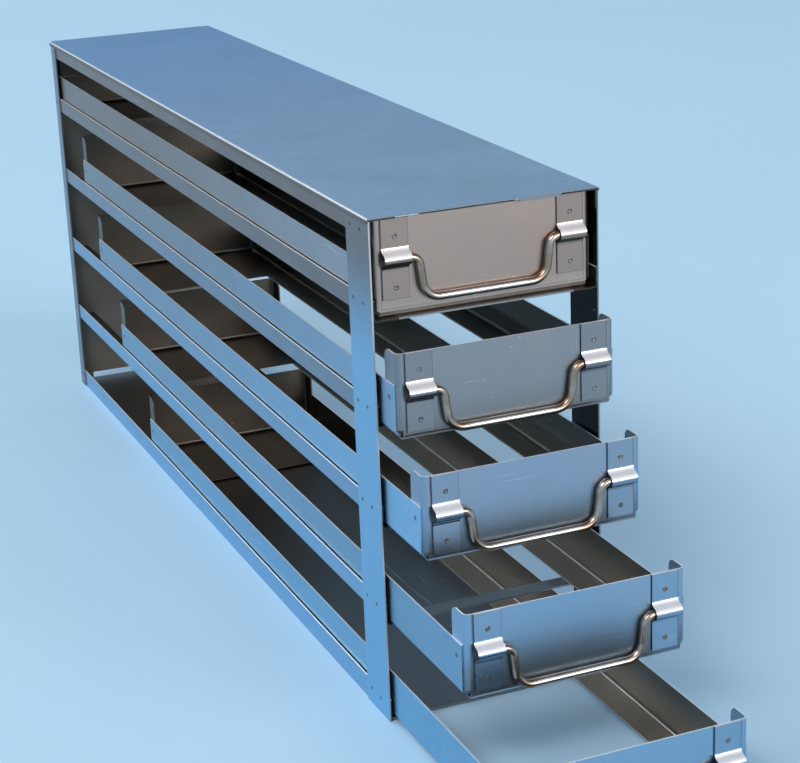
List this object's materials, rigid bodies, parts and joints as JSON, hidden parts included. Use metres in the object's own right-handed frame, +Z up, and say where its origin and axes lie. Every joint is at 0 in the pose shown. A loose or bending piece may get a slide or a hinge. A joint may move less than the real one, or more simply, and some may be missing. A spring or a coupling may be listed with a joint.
{
  "type": "freezer drawer rack",
  "caption": "Folded sheet steel rack for an upright freezer: box drawers with hinged wire handles slide on side rails between open sides, under a flat cover.",
  "frame": {"origin": "middle of the assembly's outline, on the surface that the rack stands on, with the drawers pulled out as pictured", "axes": "+Z up, -Y the way the drawers pull out, +X the rack's right seen from the front"},
  "size_m": [0.1396, 0.8716, 0.298],
  "materials": {
    "cover_steel": "satin, blue-grey, fine speckle",
    "frame_steel": "satin",
    "drawer_steel": "satin",
    "front_steel": "satin, warm grey",
    "inner_steel": "satin",
    "strap_steel": "satin, bright on the loops",
    "wire_steel": "bright wire with a straw heat tint at the bends"
  },
  "bodies": {
    "frame": {"top_cover": "cover_steel", "base_plate": "inner_steel", "back_panel": "inner_steel", "left_front_post": "frame_steel", "right_front_post": "frame_steel", "left_top_rail": "frame_steel", "right_top_rail": "frame_steel", "left_rail_1": "frame_steel", "right_rail_1": "frame_steel", "left_rail_2": "frame_steel", "right_rail_2": "frame_steel", "left_rail_3": "frame_steel", "right_rail_3": "frame_steel", "left_rail_4": "frame_steel", "right_rail_4": "frame_steel", "left_foot_rail": "frame_steel", "right_foot_rail": "frame_steel", "front_tie_1": "frame_steel", "front_tie_2": "frame_steel", "front_tie_3": "frame_steel", "front_tie_4": "frame_steel"},
    "drawer_1": {"drawer_1_left_wall": "drawer_steel", "drawer_1_right_wall": "drawer_steel", "drawer_1_front": "front_steel", "drawer_1_rear": "inner_steel", "drawer_1_left_strap": "strap_steel", "drawer_1_right_strap": "strap_steel"},
    "handle_1": {"drawer_1_handle": "wire_steel"},
    "drawer_2": {"drawer_2_left_wall": "drawer_steel", "drawer_2_right_wall": "drawer_steel", "drawer_2_front": "front_steel", "drawer_2_rear": "inner_steel", "drawer_2_left_strap": "strap_steel", "drawer_2_right_strap": "strap_steel"},
    "handle_2": {"drawer_2_handle": "wire_steel"},
    "drawer_3": {"drawer_3_left_wall": "drawer_steel", "drawer_3_right_wall": "drawer_steel", "drawer_3_front": "front_steel", "drawer_3_rear": "inner_steel", "drawer_3_left_strap": "strap_steel", "drawer_3_right_strap": "strap_steel"},
    "handle_3": {"drawer_3_handle": "wire_steel"},
    "drawer_4": {"drawer_4_left_wall": "drawer_steel", "drawer_4_right_wall": "drawer_steel", "drawer_4_front": "front_steel", "drawer_4_rear": "inner_steel", "drawer_4_left_strap": "strap_steel", "drawer_4_right_strap": "strap_steel"},
    "handle_4": {"drawer_4_handle": "wire_steel"},
    "drawer_5": {"drawer_5_left_wall": "drawer_steel", "drawer_5_right_wall": "drawer_steel", "drawer_5_front": "front_steel", "drawer_5_rear": "inner_steel", "drawer_5_left_strap": "strap_steel", "drawer_5_right_strap": "strap_steel"},
    "handle_5": {"drawer_5_handle": "wire_steel"}
  },
  "joints": [
    {"name": "drawer_1_slide", "type": "slide", "parent": "frame", "child": "drawer_1", "axis": [0, -1, 0], "range_m": [0, 0.5]},
    {"name": "handle_1_swing", "type": "hinge", "parent": "drawer_1", "child": "handle_1", "pos_m": [0, -0.2614, 0.2733], "axis": [-1, 0, 0], "range_deg": [0, 160]},
    {"name": "drawer_2_slide", "type": "slide", "parent": "frame", "child": "drawer_2", "axis": [0, -1, 0], "range_m": [-0.0211, 0.4789]},
    {"name": "handle_2_swing", "type": "hinge", "parent": "drawer_2", "child": "handle_2", "pos_m": [0, -0.2886, 0.2063], "axis": [-1, 0, 0], "range_deg": [0, 160]},
    {"name": "drawer_3_slide", "type": "slide", "parent": "frame", "child": "drawer_3", "axis": [0, -1, 0], "range_m": [-0.0509, 0.4491]},
    {"name": "handle_3_swing", "type": "hinge", "parent": "drawer_3", "child": "handle_3", "pos_m": [0, -0.3184, 0.1467], "axis": [-1, 0, 0], "range_deg": [0, 160]},
    {"name": "drawer_4_slide", "type": "slide", "parent": "frame", "child": "drawer_4", "axis": [0, -1, 0], "range_m": [-0.0997, 0.4003]},
    {"name": "handle_4_swing", "type": "hinge", "parent": "drawer_4", "child": "handle_4", "pos_m": [0, -0.3672, 0.0871], "axis": [-1, 0, 0], "range_deg": [0, 160]},
    {"name": "drawer_5_slide", "type": "slide", "parent": "frame", "child": "drawer_5", "axis": [0, -1, 0], "range_m": [-0.1647, 0.3353]},
    {"name": "handle_5_swing", "type": "hinge", "parent": "drawer_5", "child": "handle_5", "pos_m": [0, -0.4322, 0.0275], "axis": [-1, 0, 0], "range_deg": [0, 160]}
  ]
}
